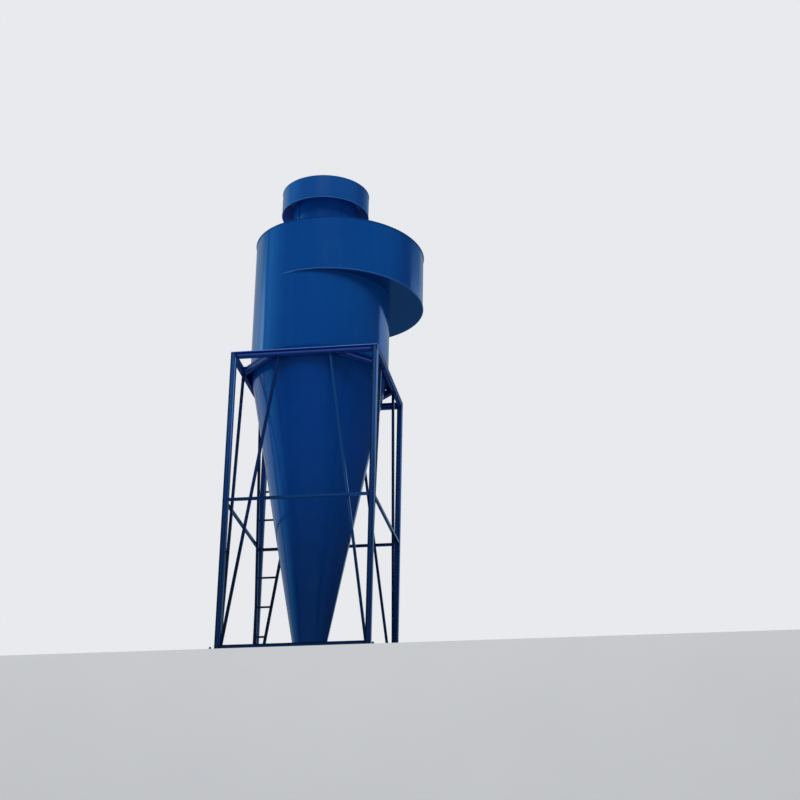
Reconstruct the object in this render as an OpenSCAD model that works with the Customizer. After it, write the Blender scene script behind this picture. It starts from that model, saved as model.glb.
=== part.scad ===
// Cyclone separator with a scroll inlet and a rain cap, in a braced four-legged stand.
// Origin on the ground under the body's axis. Front of the stand at -Y, up is +Z.
// The scroll swells to the right (+X) and its inlet leaves the back to the left (-X).

/* [Body] */
// Outside diameter of the barrel
body_d = 1350; // [1200:10:1500]
// Height of the barrel, from the cone to the roof
barrel_h = 1360; // [1200:10:1600]
// Thickness of the steel sheet
sheet_t = 4; // [3:0.5:6]
// Outside diameter of the dust outlet
outlet_d = 280; // [200:10:400]
// Height of the plain dust spout under the cone
spout_h = 40; // [30:5:80]
// Height of the spout's lower edge above the ground
spout_z = 110; // [100:5:200]
// Height of the cone's upper edge above the stand
body_lift = 55; // [40:5:120]

/* [Scroll inlet] */
// Height of the scroll
scroll_h = 570; // [450:10:700]
// Direction in which the scroll leaves the barrel
scroll_start = -112.5; // [-120:2.5:-100]
// Direction in which the first arc hands over to the second
scroll_turn = 0; // [-20:2.5:20]
// Distance between the body's axis and the first arc's centre
scroll_growth = 215; // [180:5:250]
// Distance between the two arcs' centres
scroll_closing = 125; // [90:5:150]
// Distance from the body's axis to the inlet flange's face
inlet_reach = 850; // [800:10:1000]
// Width of the lip that the roof and the scroll's floor leave outside the wall
plate_lip = 6; // [4:1:12]

/* [Inlet flange] */
// Width of the flange's flat bar, outside the duct
inlet_flange_w = 50; // [45:1:70]
// Thickness of the flange
inlet_flange_t = 8; // [6:1:12]
// Diameter of the flange's bolt holes
inlet_bolt_d = 12; // [10:1:14]

/* [Clean air outlet and rain cap] */
// Outside diameter of the vortex finder
finder_d = 640; // [560:10:700]
// Depth of the vortex finder below the roof
finder_depth = 765; // [600:5:900]
// Height of the vortex finder above the roof
finder_rise = 460; // [430:10:500]
// Width of the collar that seats the vortex finder on the roof
collar_w = 50; // [40:1:60]
// Thickness of the collar
collar_t = 8; // [6:1:12]
// Outside diameter of the rain cap
cap_d = 875; // [840:5:950]
// Height of the rain cap's skirt
cap_skirt_h = 245; // [200:5:300]
// Gap between the roof and the skirt's lower edge
cap_gap = 375; // [320:5:450]
// Height of the rain cap's conical top
cap_rise = 90; // [60:5:140]
// Width of the four straps that carry the rain cap
strap_w = 30; // [25:5:80]
// Thickness of the straps
strap_t = 6; // [5:1:10]

/* [Stand] */
// Height of the stand
stand_h = 2950; // [2600:10:3200]
// Width of the square leg and base tubes
leg_w = 50; // [45:1:60]
// Width of the top beams
beam_w = 40; // [30:1:45]
// Depth of the top beams
beam_h = 60; // [50:1:80]
// Gap between the cone and the top beams
beam_gap = 5; // [3:1:10]
// Gap between the cone and the corner beams
corner_gap = 12; // [5:1:25]
// Width of the square rail and brace tubes
brace_w = 25; // [20:1:25]
// Height of the mid rails' centre
mid_rail_z = 1450; // [1200:10:1600]
// Distance from the middle of the front and rear beams to their braces' tops
brace_top_front = 250; // [150:10:320]
// Distance from the middle of the side beams to their braces' tops
brace_top_side = 350; // [250:10:400]
// Distance between two ladder rungs
rung_pitch = 300; // [250:10:350]
// Diameter of the ladder rungs
rung_d = 20; // [16:1:22]

/* [Seats and feet] */
// Length of the plates that seat the body on the top beams
seat_l = 700; // [500:10:760]
// Thickness of the seat plates
seat_t = 8; // [6:1:12]
// Width of the square foot plates
foot_w = 160; // [150:5:200]
// Thickness of the foot plates
foot_t = 10; // [8:1:16]
// Diameter of the anchor holes
anchor_d = 18; // [14:1:22]
// Distance from a foot plate's edges to its anchor hole
anchor_edge = 27; // [25:1:32]

/* [Hidden] */
$fn = 180;
body_r = body_d / 2;
outlet_r = outlet_d / 2;
finder_r = finder_d / 2;
cap_r = cap_d / 2;

cone_top_z = stand_h + body_lift;
cone_foot_z = spout_z + spout_h;
roof_z = cone_top_z + barrel_h;
scroll_z = roof_z - scroll_h;
skirt_z = roof_z + cap_gap;
cap_z = skirt_z + cap_skirt_h;

// The cone's outer radius at a height
function cone_r(z) = outlet_r + (body_r - outlet_r) * (z - cone_foot_z) / (cone_top_z - cone_foot_z);

// A point at a radius and a direction
function polar(r, a) = [r * cos(a), r * sin(a)];

// Two arcs: the first leaves the barrel, the second carries on to the inlet, parallel to X.
// At each seam one sheet stands this far proud of the next, so that they cross cleanly.
seam_step = 0.5;
seam_lap = 15;
arc1_r = body_r + scroll_growth - seam_step;
arc1_c = polar(-scroll_growth, scroll_start);
arc2_r = arc1_r - scroll_closing + seam_step;
arc2_c = arc1_c + polar(scroll_closing, scroll_turn);
inlet_end = 90;
// The floor's thin tip stops this many degrees after the scroll leaves the barrel
floor_tip = 10;
inlet_y = arc2_c[1] + arc2_r - seam_step;
duct_end_x = inlet_flange_t - inlet_reach;

// Top frame, legs and everything between them, measured from the axis
beam_in = cone_r(stand_h) + beam_gap;
stand_out = beam_in + beam_w;
leg_in = stand_out - leg_w;
leg_c = stand_out - leg_w / 2;
bay_low = foot_t + leg_w;
bay_high = stand_h - beam_h;
brace_c = leg_in + brace_w / 2;
corner_cut = 2 * beam_in - sqrt(2) * (cone_r(stand_h) + corner_gap + beam_w);
anchor_c = leg_c + foot_w / 2 - anchor_edge;

BODY = [0.05, 0.23, 0.50];
FRAME = [0.03, 0.14, 0.34];

// Ring with an outer radius, a wall and a height
module ring(r, t, h) {
    difference() {
        cylinder(h = h, r = r);
        translate([0, 0, -1]) cylinder(h = h + 2, r = r - t);
    }
}

// Slice of a disc about a centre, from one direction to another
module slice(c, r, from, to) {
    steps = 4;
    reach = 1.3 * r;
    translate(c) intersection() {
        circle(r = r);
        polygon(concat([[0, 0]], [for (i = [0:steps]) polar(reach, from + (to - from) * i / steps)]));
    }
}

// Plan of the side on which the scroll encloses the barrel, inset and drawn on past both ends
module scroll_plan(inset = 0, past = 0) {
    slice(arc1_c, arc1_r - inset, scroll_start - past, scroll_turn);
    slice(arc2_c, arc2_r - inset, scroll_turn - seam_lap, inlet_end + seam_lap);
    translate([-past, 0]) square([arc2_c[0] + past, inlet_y - inset]);
}

// Beam between two directions of one side, from its inner to its outer face
module side_beam(half, inner, outer, z, h) {
    translate([-half, -outer, z]) cube([2 * half, outer - inner, h]);
}

// Feet and base
module foot_plates() {
    color(FRAME) for (x = [-1, 1], y = [-1, 1]) difference() {
        translate([x * leg_c - foot_w / 2, y * leg_c - foot_w / 2, 0]) cube([foot_w, foot_w, foot_t]);
        translate([x * anchor_c, y * anchor_c, -1]) cylinder(h = foot_t + 2, d = anchor_d);
    }
}

module base_beam(turn) {
    color(FRAME) rotate([0, 0, turn]) side_beam(leg_in, leg_in, stand_out, foot_t, leg_w);
}

// Legs, from the foot plates to the top of the stand
module leg(x, y) {
    color(FRAME) translate([x * leg_c - leg_w / 2, y * leg_c - leg_w / 2, foot_t])
        cube([leg_w, leg_w, stand_h - foot_t]);
}

// Rails half way up, in the outer half of the legs' width
module mid_rail(turn) {
    color(FRAME) rotate([0, 0, turn])
        side_beam(leg_in, stand_out - brace_w, stand_out, mid_rail_z - brace_w / 2, brace_w);
}

// One brace as a long bar through the foot of a bay and its top point
module brace_bar(top) {
    run = leg_in - top;
    lean = atan2(run, bay_high - bay_low);
    translate([-leg_in, -brace_c, bay_low]) rotate([0, lean, 0])
        translate([-brace_w / 2, -brace_w / 2, -leg_w]) cube([brace_w, brace_w, 1.1 * stand_h]);
}

// Pair of braces in one bay, cut flush to the legs and beams around it
module braces(turn, top) {
    color(FRAME) rotate([0, 0, turn]) for (side = [0, 1]) mirror([side, 0, 0]) intersection() {
        brace_bar(top);
        translate([-leg_in, -leg_in - brace_w, bay_low]) cube([leg_in, brace_w, bay_high - bay_low]);
    }
}

// Top frame
module top_beam(turn) {
    color(FRAME) rotate([0, 0, turn]) side_beam(leg_in, beam_in, stand_out, bay_high, beam_h);
}

module corner_beam(turn) {
    reach = 2 * corner_cut;
    color(FRAME) rotate([0, 0, turn]) intersection() {
        translate([-beam_in, -beam_in + corner_cut, bay_high]) rotate([0, 0, -45])
            translate([-reach, 0, 0]) cube([3 * reach, beam_w, beam_h]);
        translate([-beam_in, -beam_in, bay_high]) cube([2 * beam_in, 2 * beam_in, beam_h]);
    }
}

// Rungs between the rear left leg and the brace beside it
module ladder_rungs() {
    below = floor((mid_rail_z - bay_low) / rung_pitch) - 1;
    above = floor((bay_high - mid_rail_z) / rung_pitch);
    color(FRAME) difference() {
        intersection() {
            for (i = [-below:above]) if (i != 0)
                translate([-leg_in, brace_c, mid_rail_z + i * rung_pitch]) rotate([0, 90, 0])
                    cylinder(h = leg_in, d = rung_d);
            rung_side();
        }
        mirror([0, 1, 0]) brace_bar(brace_top_front);
    }
}

// The side of the rear left brace's middle on which the rungs lie
module rung_side() {
    translate([-leg_in, leg_in, bay_low]) rotate([-90, 0, 0]) linear_extrude(leg_w)
        polygon([[0, 0], [0, -(bay_high - bay_low)], [leg_in - brace_top_front, -(bay_high - bay_low)]]);
}

// Plates on the top beams, fitted round the cone
module seat_plate(turn) {
    color(FRAME) difference() {
        rotate([0, 0, turn]) translate([-seat_l / 2, -stand_out + leg_w / 10, stand_h])
            cube([seat_l, stand_out / 2, seat_t]);
        cone_solid();
        translate([0, 0, stand_h - 1]) cylinder(h = seat_t + 2, r = cone_r(stand_h) - beam_w);
    }
}

// Cone and spout
module cone_solid() {
    translate([0, 0, cone_foot_z])
        cylinder(h = cone_top_z - cone_foot_z, r1 = outlet_r, r2 = body_r);
}

module cone() {
    color(BODY) difference() {
        cone_solid();
        translate([0, 0, cone_foot_z])
            cylinder(h = cone_top_z - cone_foot_z, r1 = outlet_r - sheet_t, r2 = body_r - sheet_t);
    }
}

module dust_spout() {
    color(BODY) translate([0, 0, spout_z]) ring(outlet_r, sheet_t, spout_h);
}

// Barrel: whole below the scroll, and open to it above the scroll's floor
module barrel() {
    color(BODY) {
        translate([0, 0, cone_top_z]) ring(body_r, sheet_t, scroll_z + sheet_t - cone_top_z);
        translate([0, 0, scroll_z + sheet_t]) linear_extrude(scroll_h - sheet_t) difference() {
            slice([0, 0], body_r, inlet_end, 360 + scroll_start);
            circle(r = body_r - sheet_t);
        }
    }
}

// Scroll
module scroll_wall() {
    color(BODY) translate([0, 0, scroll_z + sheet_t]) linear_extrude(scroll_h - sheet_t) difference() {
        scroll_plan();
        scroll_plan(sheet_t, seam_lap);
    }
}

module scroll_floor() {
    color(BODY) translate([0, 0, scroll_z]) linear_extrude(sheet_t) difference() {
        scroll_plan(-plate_lip);
        circle(r = body_r);
        slice([0, 0], arc1_r, scroll_start - floor_tip, scroll_start + floor_tip);
    }
}

module roof_plate() {
    color(BODY) translate([0, 0, roof_z]) linear_extrude(sheet_t) difference() {
        union() {
            scroll_plan(-plate_lip);
            slice([0, 0], body_r, inlet_end - seam_lap, inlet_end + 2 * seam_lap);
            slice([0, 0], body_r + plate_lip, inlet_end + seam_lap, 360 + scroll_start + seam_lap);
        }
        circle(r = finder_r);
    }
}

// Inlet duct, in line with the barrel's back and the scroll's end
module inlet_duct() {
    w = inlet_y - body_r + sheet_t;
    h = scroll_h + sheet_t;
    color(BODY) difference() {
        translate([duct_end_x, body_r - sheet_t, scroll_z]) cube([-duct_end_x, w, h]);
        translate([duct_end_x - 1, body_r, scroll_z + sheet_t])
            cube([2 - duct_end_x, w - 2 * sheet_t, h - 2 * sheet_t]);
        translate([0, 0, scroll_z - 1]) cylinder(h = h + 2, r = body_r);
    }
}

module inlet_flange() {
    w = inlet_y - body_r + sheet_t;
    h = scroll_h + sheet_t;
    bolt_y = w / 2 + inlet_flange_w / 2;
    bolt_z = h / 2 + inlet_flange_w / 2;
    color(BODY) translate([-inlet_reach, body_r - sheet_t + w / 2, scroll_z + h / 2])
        rotate([90, 0, 90]) difference() {
            linear_extrude(inlet_flange_t) difference() {
                square([w + 2 * inlet_flange_w, h + 2 * inlet_flange_w], center = true);
                square([w - 2 * sheet_t, h - 2 * sheet_t], center = true);
            }
            for (y = [-1, 0, 1], z = [-1, 1])
                translate([y * bolt_y, z * bolt_z, -1]) cylinder(h = inlet_flange_t + 2, d = inlet_bolt_d);
            for (y = [-1, 1], z = [-1, 1])
                translate([y * bolt_y, z * bolt_z / 3, -1]) cylinder(h = inlet_flange_t + 2, d = inlet_bolt_d);
        }
}

// Clean air outlet
module vortex_finder() {
    color(BODY) translate([0, 0, roof_z - finder_depth]) ring(finder_r, sheet_t, finder_depth + finder_rise);
}

module finder_collar() {
    color(BODY) translate([0, 0, roof_z + sheet_t]) ring(finder_r + collar_w, collar_w, collar_t);
}

// Rain cap on four straps
module cap_under() {
    translate([0, 0, roof_z]) cylinder(h = cap_z - roof_z, r = cap_r);
    translate([0, 0, cap_z]) cylinder(h = cap_rise, r1 = cap_r - sheet_t, r2 = 0);
}

module cap_straps() {
    strap_z = roof_z + sheet_t + collar_t;
    color(BODY) intersection() {
        for (turn = [0:3]) rotate([0, 0, 45 + 90 * turn]) difference() {
            translate([finder_r - strap_t, -strap_w / 2, strap_z])
                cube([2 * strap_t, strap_w, cap_z + cap_rise - strap_z]);
            translate([0, 0, strap_z - 1]) cylinder(h = cap_z + cap_rise, r = finder_r, $fn = 720);
        }
        cap_under();
    }
}

module cap_skirt() {
    color(BODY) translate([0, 0, skirt_z]) ring(cap_r, sheet_t, cap_skirt_h);
}

module cap_top() {
    color(BODY) translate([0, 0, cap_z]) difference() {
        union() {
            cylinder(h = sheet_t, r = cap_r);
            translate([0, 0, sheet_t]) cylinder(h = cap_rise, r1 = cap_r, r2 = 0);
        }
        cylinder(h = cap_rise, r1 = cap_r - sheet_t, r2 = 0);
    }
}

foot_plates();
base_beam(0);  // base_beam_front
base_beam(180);  // base_beam_rear
base_beam(-90);  // base_beam_left
base_beam(90);  // base_beam_right
leg(-1, -1);  // leg_front_left
leg(1, -1);  // leg_front_right
leg(-1, 1);  // leg_rear_left
leg(1, 1);  // leg_rear_right
mid_rail(0);  // mid_rail_front
mid_rail(180);  // mid_rail_rear
mid_rail(-90);  // mid_rail_left
mid_rail(90);  // mid_rail_right
braces(0, brace_top_front);  // braces_front
braces(180, brace_top_front);  // braces_rear
braces(-90, brace_top_side);  // braces_left
braces(90, brace_top_side);  // braces_right
top_beam(0);  // top_beam_front
top_beam(180);  // top_beam_rear
top_beam(-90);  // top_beam_left
top_beam(90);  // top_beam_right
corner_beam(0);  // corner_beam_front_left
corner_beam(90);  // corner_beam_front_right
corner_beam(180);  // corner_beam_rear_right
corner_beam(-90);  // corner_beam_rear_left
ladder_rungs();
seat_plate(0);  // seat_plate_front
seat_plate(180);  // seat_plate_rear
seat_plate(-90);  // seat_plate_left
seat_plate(90);  // seat_plate_right
dust_spout();
cone();
barrel();
scroll_wall();
scroll_floor();
roof_plate();
inlet_duct();
inlet_flange();
vortex_finder();
finder_collar();
cap_straps();
cap_skirt();
cap_top();
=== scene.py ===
"""Cyclone separator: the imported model's looks, its small parts, the studio and the camera.

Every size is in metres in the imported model's frame: the origin is on the ground under the body's axis,
the front of the stand is at -Y and up is +Z. Fields whose names end in _mm are millimetres. Directions
about Z are in degrees from +X towards +Y, except in the studio's rings.
"""

import logging
import math
from dataclasses import dataclass, replace
from enum import Enum

import bmesh
import bpy
from mathutils import Matrix, Vector


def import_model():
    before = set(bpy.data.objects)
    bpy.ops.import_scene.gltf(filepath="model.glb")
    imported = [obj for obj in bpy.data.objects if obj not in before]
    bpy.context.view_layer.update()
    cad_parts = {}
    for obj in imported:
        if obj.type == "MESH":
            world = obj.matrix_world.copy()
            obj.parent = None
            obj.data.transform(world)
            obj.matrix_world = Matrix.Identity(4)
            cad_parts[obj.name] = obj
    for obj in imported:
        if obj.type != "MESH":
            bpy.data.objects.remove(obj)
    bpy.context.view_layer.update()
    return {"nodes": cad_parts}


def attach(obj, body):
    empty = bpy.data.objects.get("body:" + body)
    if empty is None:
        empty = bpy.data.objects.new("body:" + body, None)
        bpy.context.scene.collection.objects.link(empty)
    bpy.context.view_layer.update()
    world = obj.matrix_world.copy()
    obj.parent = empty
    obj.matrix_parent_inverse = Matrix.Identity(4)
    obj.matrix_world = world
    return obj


# Short names for the types that recur
Shape = bmesh.types.BMesh
Material = bpy.types.Material
Socket = bpy.types.NodeSocket
Outputs = bpy.types.bpy_prop_collection
Nodes = dict[str, bpy.types.Object]
Colour = str | tuple[float, float, float, float] | Socket
Point = tuple[float, float, float]
Section = list[tuple[float, float]]
Stops = tuple[tuple[float, tuple[float, float, float]], ...]

LOG = logging.getLogger("cyclone_separator")
BODY = "root"
FULL_TURN = 360.0
MERGE_DIST = 1e-7
# What stands up comes to lie along +X, or to hang down
ON_ITS_SIDE = Matrix.Rotation(math.radians(90.0), 4, "Y")
UPSIDE_DOWN = Matrix.Rotation(math.pi, 4, "X")


class Slot(Enum):
    """The record's material slots, one for the body's enamel and one for the stand's."""

    BODY_ENAMEL = "body_enamel"
    STAND_ENAMEL = "stand_enamel"


class Shading(Enum):
    """The angle in degrees up to which an edge is shaded smooth: on fasteners, beads and thick rims."""

    CRISP = 30.0
    SOFT = 45.0
    ROUND = 60.0


class Axis(Enum):
    """The axis along which an enamel goes over into its second colour, where light and shade are painted."""

    X = "X"
    Z = "Z"


class Side(Enum):
    """The stand's four sides, by the turn about Z that carries the front there, in degrees."""

    FRONT = 0
    RIGHT = 90
    REAR = 180
    LEFT = 270

    def turn(self) -> Matrix:
        """The turn about Z that carries a piece from the front to this side."""
        return about_z(self.value)


@dataclass(frozen=True)
class Arc:
    """One arc of the scroll's wall, seen from above."""

    centre: tuple[float, float]
    radius: float
    start: float
    end: float


@dataclass(frozen=True)
class Solids:
    """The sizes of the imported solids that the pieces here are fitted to."""

    body_r: float = 0.675
    sheet_t: float = 0.004
    outlet_r: float = 0.140
    spout_z: float = 0.110
    cone_foot_z: float = 0.150
    cone_top_z: float = 3.005
    scroll_z: float = 3.795
    roof_z: float = 4.365
    arc1: Arc = Arc((0.082277, 0.198634), 0.8895, -112.5, 0.0)
    arc2: Arc = Arc((0.207277, 0.198634), 0.765, 0.0, 90.0)
    inlet_x: float = -0.850
    inlet_y: float = 0.963134
    flange_t: float = 0.008
    finder_r: float = 0.320
    collar_w: float = 0.050
    collar_t: float = 0.008
    finder_top_z: float = 4.825
    cap_r: float = 0.4375
    skirt_z: float = 4.740
    cap_z: float = 4.985
    cap_rise: float = 0.090
    strap_t: float = 0.006
    stand_h: float = 2.950
    stand_out: float = 0.709693
    leg_w: float = 0.050
    beam_w: float = 0.040
    beam_h: float = 0.060
    rail_w: float = 0.025
    mid_rail_z: float = 1.450
    rung_pitch: float = 0.300
    rung_r: float = 0.010
    foot_t: float = 0.010
    anchor_c: float = 0.737693
    seat_t: float = 0.008

    @property
    def leg_in(self) -> float:
        """Distance from the axis to the legs' inner faces."""
        return self.stand_out - self.leg_w

    @property
    def collar_z(self) -> float:
        """Height of the collar's upper face."""
        return self.roof_z + self.sheet_t + self.collar_t

    def cone_r(self, z: float) -> float:
        """The cone's outer radius at a height."""
        run = (z - self.cone_foot_z) / (self.cone_top_z - self.cone_foot_z)
        return self.outlet_r + (self.body_r - self.outlet_r) * run


CAD = Solids()


# Shapes: each is a small bmesh of its own, which a piece then takes in


def at(x: float = 0.0, y: float = 0.0, z: float = 0.0) -> Matrix:
    """A place without a turn."""
    return Matrix.Translation((x, y, z))


def about_z(degrees: float) -> Matrix:
    """A turn about the vertical axis."""
    return Matrix.Rotation(math.radians(degrees), 4, "Z")


def bead_profile(radius: float, height: float, bead_r: float, sides: int = 8) -> Section:
    """Section of a round bead, as radius and height.

    Args:
        radius: distance from the axis to the bead's middle.
        height: height of the bead's middle.
        bead_r: the bead's own radius.
        sides: how many corners its section has.

    Returns:
        The section's corners, in order.
    """
    steps = [math.tau * (i + 0.5) / sides for i in range(sides)]
    return [(radius + bead_r * math.cos(a), height + bead_r * math.sin(a)) for a in steps]


def turned(profile: Section, steps: int, start: float = 0.0, end: float = FULL_TURN) -> Shape:
    """A closed section spun about Z.

    Args:
        profile: the section's corners as radius and height, in order.
        steps: how many sections the turn has.
        start: direction at which the turn starts.
        end: direction at which it ends.

    Returns:
        The shape, closed at both ends where the turn isn't a full one.
    """
    shape = bmesh.new()
    full = end - start >= FULL_TURN
    section = shape.faces.new([shape.verts.new((r, 0.0, z)) for r, z in profile])
    bmesh.ops.transform(shape, matrix=about_z(start), verts=shape.verts)
    if full:
        geom = [*section.edges, *section.verts]
        bmesh.ops.delete(shape, geom=[section], context="FACES_ONLY")
    else:
        geom = [section, *section.edges, *section.verts]
    bmesh.ops.spin(
        shape, geom=geom, axis=(0, 0, 1), cent=(0, 0, 0), angle=math.radians(end - start),
        steps=steps, use_merge=full, use_duplicate=False,
    )
    bmesh.ops.remove_doubles(shape, verts=shape.verts, dist=MERGE_DIST)
    bmesh.ops.recalc_face_normals(shape, faces=shape.faces)
    return shape


def bar(start: Point, end: Point, radius: float, sides: int = 8) -> Shape:
    """A straight round bead between two points.

    Args:
        start: the middle of one end.
        end: the middle of the other end.
        radius: the bead's radius.
        sides: how many sides it has.

    Returns:
        The shape.
    """
    shape = bmesh.new()
    foot, head = Vector(start), Vector(end)
    turn = (head - foot).to_track_quat("Z", "Y").to_matrix().to_4x4()
    bmesh.ops.create_cone(
        shape, cap_ends=True, segments=sides, radius1=radius, radius2=radius, depth=(head - foot).length,
        matrix=Matrix.Translation((foot + head) / 2) @ turn,
    )
    return shape


def disc(radius: float, height: float, corner: float, sides: int = 20) -> Shape:
    """A washer or stud end that stands on the origin, with the edge round its top cut back.

    Args:
        radius: distance from the axis to its corners.
        height: how tall it is.
        corner: how far the upper edge is cut back.
        sides: how many sides it has.

    Returns:
        The shape.
    """
    shape = bmesh.new()
    bmesh.ops.create_cone(
        shape, cap_ends=True, segments=sides, radius1=radius, radius2=radius, depth=height,
        matrix=at(z=height / 2),
    )
    top = max(shape.faces, key=lambda f: f.calc_center_median().z)
    bmesh.ops.bevel(
        shape, geom=list(top.edges), offset=corner, offset_type="OFFSET", segments=2, profile=0.5,
        affect="EDGES", material=-1,
    )
    return shape


def hexagon(across: float, height: float, corner: float) -> Shape:
    """A nut or bolt head with so much across its flats that stands on the origin."""
    return disc(across / math.sqrt(3.0), height, corner, sides=6)


def frame_bead(half_w: float, half_h: float, radius: float) -> list[Shape]:
    """Four straight beads round a tube's end, in the plane X = 0.

    Args:
        half_w: half the tube's width, along Y.
        half_h: half its height, along Z.
        radius: the beads' radius.

    Returns:
        The four beads.
    """
    ends = [(0.0, y * half_w, z * half_h) for y, z in ((-1, -1), (1, -1), (1, 1), (-1, 1))]
    return [bar(start, end, radius, sides=6) for start, end in zip(ends, ends[1:] + ends[:1])]


class Piece:
    """One new object, put together from shapes in the model's frame."""

    def __init__(self, name: str) -> None:
        """Starts an empty piece with the name that its object gets."""
        self.name = name
        self.mesh = bmesh.new()

    def take(self, shape: Shape, *places: Matrix) -> None:
        """Adds a copy of a shape at each place, and frees the shape.

        Args:
            shape: the shape, as it is made.
            places: where it goes, or nothing for where it is.
        """
        for place in places or (Matrix.Identity(4),):
            copy = bpy.data.meshes.new("copy")
            shape.to_mesh(copy)
            copy.transform(place)
            self.mesh.from_mesh(copy)
            bpy.data.meshes.remove(copy)
        shape.free()

    def finish(self, material: Material, slot: Slot, shading: Shading = Shading.SOFT) -> None:
        """Turns the piece into a scene object at the origin, which rides on the body.

        Args:
            material: the piece's finish.
            slot: the record's slot that the finish belongs to; not used.
            shading: which edges are shaded smooth.
        """
        bmesh.ops.recalc_face_normals(self.mesh, faces=self.mesh.faces)
        data = bpy.data.meshes.new(self.name)
        self.mesh.to_mesh(data)
        self.mesh.free()
        data.materials.append(material)
        data.shade_smooth()
        data.set_sharp_from_angle(angle=math.radians(shading.value))
        piece = bpy.data.objects.new(self.name, data)
        bpy.context.scene.collection.objects.link(piece)
        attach(piece, BODY)
        LOG.info("%s: %d faces", self.name, len(data.polygons))


@dataclass(frozen=True)
class Fastener:
    """A washer with a nut or a bolt head on it, and the stud end that stands out of a nut."""

    washer_r: float
    washer_t: float
    washer_corner: float
    across: float
    head_h: float
    corner: float
    turn: float
    stud_r: float = 0.0
    stud_h: float = 0.0

    def fit(self, piece: Piece, places: list[Matrix], studs: bool = False) -> None:
        """Adds one at each place, standing along the place's own Z.

        Args:
            piece: the piece that takes them in.
            places: where the washers lie.
            studs: whether a stud end stands out of each.
        """
        piece.take(disc(self.washer_r, self.washer_t, self.washer_corner), *places)
        on_washer = [place @ at(z=self.washer_t) @ about_z(self.turn) for place in places]
        piece.take(hexagon(self.across, self.head_h, self.corner), *on_washer)
        if studs:
            piece.take(disc(self.stud_r, self.stud_h, self.corner), *places)


# Finishes


# A Mix node has its sockets once for each data type, under the same names, so they go by number
FACTOR, FLOAT_A, FLOAT_B, COLOUR_A, COLOUR_B, COLOUR_OUT = 0, 2, 3, 6, 7, 2


def linear(code: str) -> tuple[float, float, float, float]:
    """An sRGB hex value as the linear colour that a shader takes.

    Args:
        code: a hash and six hex digits.

    Returns:
        Red, green and blue, and a full alpha.
    """
    parts = [int(code[i : i + 2], 16) / 255 for i in (1, 3, 5)]
    red, green, blue = (p / 12.92 if p <= 0.04045 else ((p + 0.055) / 1.055) ** 2.4 for p in parts)
    return red, green, blue, 1.0


class Graph:
    """The nodes of a material or of the world. An input takes a value, or the output that feeds it."""

    def __init__(self, owner: Material | bpy.types.World, coordinates: str) -> None:
        """Clears the owner's nodes and adds the coordinates that its patterns lie on.

        Args:
            owner: the material or the world.
            coordinates: "Object", or "Generated" for the directions round the world.
        """
        owner.use_nodes = True
        self.tree = owner.node_tree
        self.tree.nodes.clear()
        self.place = self.add("ShaderNodeTexCoord").outputs[coordinates]

    def add(self, kind: str, inputs: dict | None = None, **settings: object) -> bpy.types.Node:
        """Adds one node.

        Args:
            kind: the node's type.
            inputs: values or outputs, by input name or number.
            settings: the node's own settings.

        Returns:
            The node.
        """
        made = self.tree.nodes.new(kind)
        for name, value in settings.items():
            setattr(made, name, value)
        for name, value in (inputs or {}).items():
            if isinstance(value, Socket):
                self.tree.links.new(value, made.inputs[name])
            else:
                made.inputs[name].default_value = value
        return made

    def noise(self, place: Socket, size_mm: float, detail: float, roughness: float = 0.5) -> Socket:
        """Noise from 0 to 1.

        Args:
            place: coordinates in metres.
            size_mm: about how wide one spot is.
            detail: how many finer layers it has.
            roughness: how strong each layer is against the one before.

        Returns:
            The noise.
        """
        inputs = {"Vector": place, "Scale": 1000.0 / size_mm, "Detail": detail, "Roughness": roughness}
        return self.add("ShaderNodeTexNoise", inputs).outputs["Fac"]

    def span(
        self, value: Socket, start: float, end: float, to_start: float = 0.0, to_end: float = 1.0,
        smooth: bool = False,
    ) -> Socket:
        """Carries a value from one range over to another, and holds it past both ends.

        Args:
            value: the value.
            start: the value at which the result is to_start.
            end: the value at which the result is to_end.
            to_start: the result at the start and before it.
            to_end: the result at the end and after it.
            smooth: whether the result leaves and arrives gently.

        Returns:
            The result.
        """
        inputs = {"Value": value, "From Min": start, "From Max": end, "To Min": to_start, "To Max": to_end}
        kind = "SMOOTHSTEP" if smooth else "LINEAR"
        return self.add("ShaderNodeMapRange", inputs, interpolation_type=kind).outputs[0]

    def mix(self, share: Socket, first: Colour, second: Colour) -> Socket:
        """Goes over from one colour to another.

        Args:
            share: how much of the second there is, from 0 to 1.
            first: an sRGB hex value, a linear colour or an output.
            second: the same.

        Returns:
            The colour.
        """
        first, second = (linear(colour) if isinstance(colour, str) else colour for colour in (first, second))
        inputs = {FACTOR: share, COLOUR_A: first, COLOUR_B: second}
        return self.add("ShaderNodeMix", inputs, data_type="RGBA").outputs[COLOUR_OUT]

    def switch(self, share: Socket, first: Socket, second: float) -> Socket:
        """Goes over from one number to another, by the second's share."""
        return self.add("ShaderNodeMix", {FACTOR: share, FLOAT_A: first, FLOAT_B: second}).outputs[0]

    def calculate(self, operation: str, *values: float | Socket) -> Socket:
        """The result of an operation on numbers."""
        return self.add("ShaderNodeMath", dict(enumerate(values)), operation=operation).outputs[0]

    def dot(self, first: Socket, second: Socket) -> Socket:
        """The dot product of two vectors."""
        inputs = {0: first, 1: second}
        return self.add("ShaderNodeVectorMath", inputs, operation="DOT_PRODUCT").outputs["Value"]

    def parts(self, vector: Socket) -> Outputs:
        """A vector's parts, as the outputs X, Y and Z."""
        return self.add("ShaderNodeSeparateXYZ", {0: vector}).outputs

    def normal(self) -> Socket:
        """The surface's normal."""
        return self.add("ShaderNodeNewGeometry").outputs["Normal"]


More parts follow.
